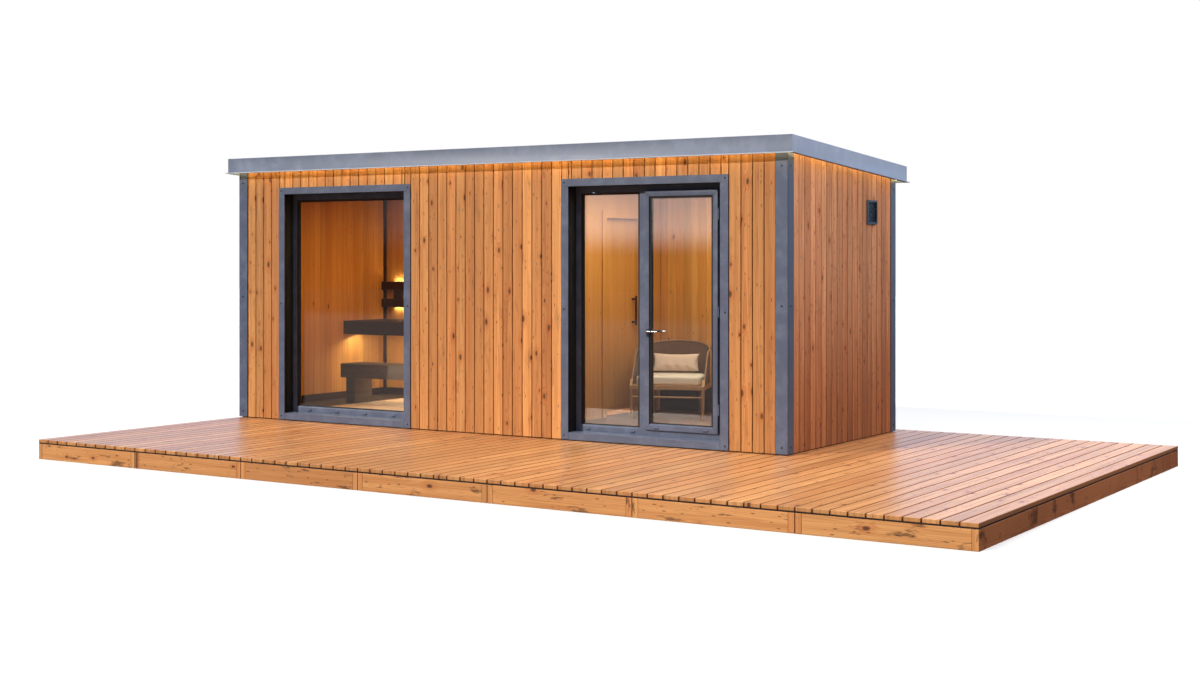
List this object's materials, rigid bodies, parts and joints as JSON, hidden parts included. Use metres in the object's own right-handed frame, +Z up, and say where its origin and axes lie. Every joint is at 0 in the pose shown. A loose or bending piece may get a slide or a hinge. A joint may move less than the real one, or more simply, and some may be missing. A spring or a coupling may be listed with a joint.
{
  "type": "modular sauna cabin",
  "caption": "Flat-roofed timber sauna cabin with a glazed lounge door, a fixed sauna window, benches inside and a plank deck that carries it.",
  "frame": {"origin": "on the ground under the middle of the whole footprint", "axes": "+X along the front wall to the right, +Y to the back, +Z up"},
  "size_m": [8.525, 4.8, 2.714],
  "materials": {
    "deck_wood": "oiled",
    "front_larch": "oiled, with knots",
    "side_larch": "oiled",
    "core_board": "dark board",
    "lining_wood": "planed",
    "dark_wood": "dark stained",
    "grey_wood": "grey stained",
    "light_wood": "oiled",
    "steel_grey": "satin grey powder coat",
    "silver": "satin",
    "roof_membrane": "matte",
    "glass": "clear",
    "warm_light": "diffuser",
    "rope": "woven cord",
    "linen": "woven linen"
  },
  "bodies": {
    "cabin": {"deck_beams": "deck_wood", "deck_rims": "deck_wood", "deck_joists": "deck_wood", "deck_boards": "deck_wood", "floor_base": "core_board", "floor_boards": "lining_wood", "front_wall": "core_board", "back_wall": "core_board", "left_wall": "core_board", "right_wall": "core_board", "front_cladding": "front_larch", "back_cladding": "front_larch", "left_cladding": "side_larch", "right_cladding": "side_larch", "corner_angles": "steel_grey", "roof_panel": "core_board", "roof_sheet": "roof_membrane", "roof_fascia": "steel_grey", "eaves_light": "warm_light", "sauna_lining": "lining_wood", "lounge_lining": "lining_wood", "sauna_skirting": "dark_wood", "sauna_corner_trim": "dark_wood", "window_casing": "steel_grey", "window_frame": "steel_grey", "window_glass": "glass", "door_casing": "steel_grey", "door_frame": "steel_grey", "fixed_glass": "glass", "door_hinges": "steel_grey", "vent_grille": "steel_grey", "partition": "lining_wood", "inner_door_frame": "light_wood", "inner_door_hinges": "silver", "upper_bench": "dark_wood", "lower_bench": "grey_wood", "bench_backrest": "dark_wood", "bench_lights": "warm_light", "chair_frame": "light_wood", "chair_back": "rope", "seat_cushion": "linen", "back_pillow": "linen"},
    "sash": {"door_sash": "steel_grey", "sash_glass": "glass", "sash_hinges": "steel_grey", "handle_roses": "steel_grey"},
    "lever": {"door_handle": "silver"},
    "inner_leaf": {"inner_door": "lining_wood", "inner_leaf_hinges": "silver", "inner_door_pull": "dark_wood"}
  },
  "joints": [
    {"name": "door_swing", "type": "hinge", "parent": "cabin", "child": "sash", "pos_m": [1.1615, 0.089, 0], "axis": [0, 0, 1], "range_deg": [0, 90]},
    {"name": "lever_turn", "type": "hinge", "parent": "sash", "child": "lever", "pos_m": [0.4855, 0.09, 1.121], "axis": [0, 1, 0], "range_deg": [0, 42], "stiffness_Nm_per_rad": 1.6, "springref_deg": -20.05},
    {"name": "inner_door_swing", "type": "hinge", "parent": "cabin", "child": "inner_leaf", "pos_m": [-0.6345, 1.052, 0], "axis": [0, 0, 1], "range_deg": [0, 90]}
  ]
}
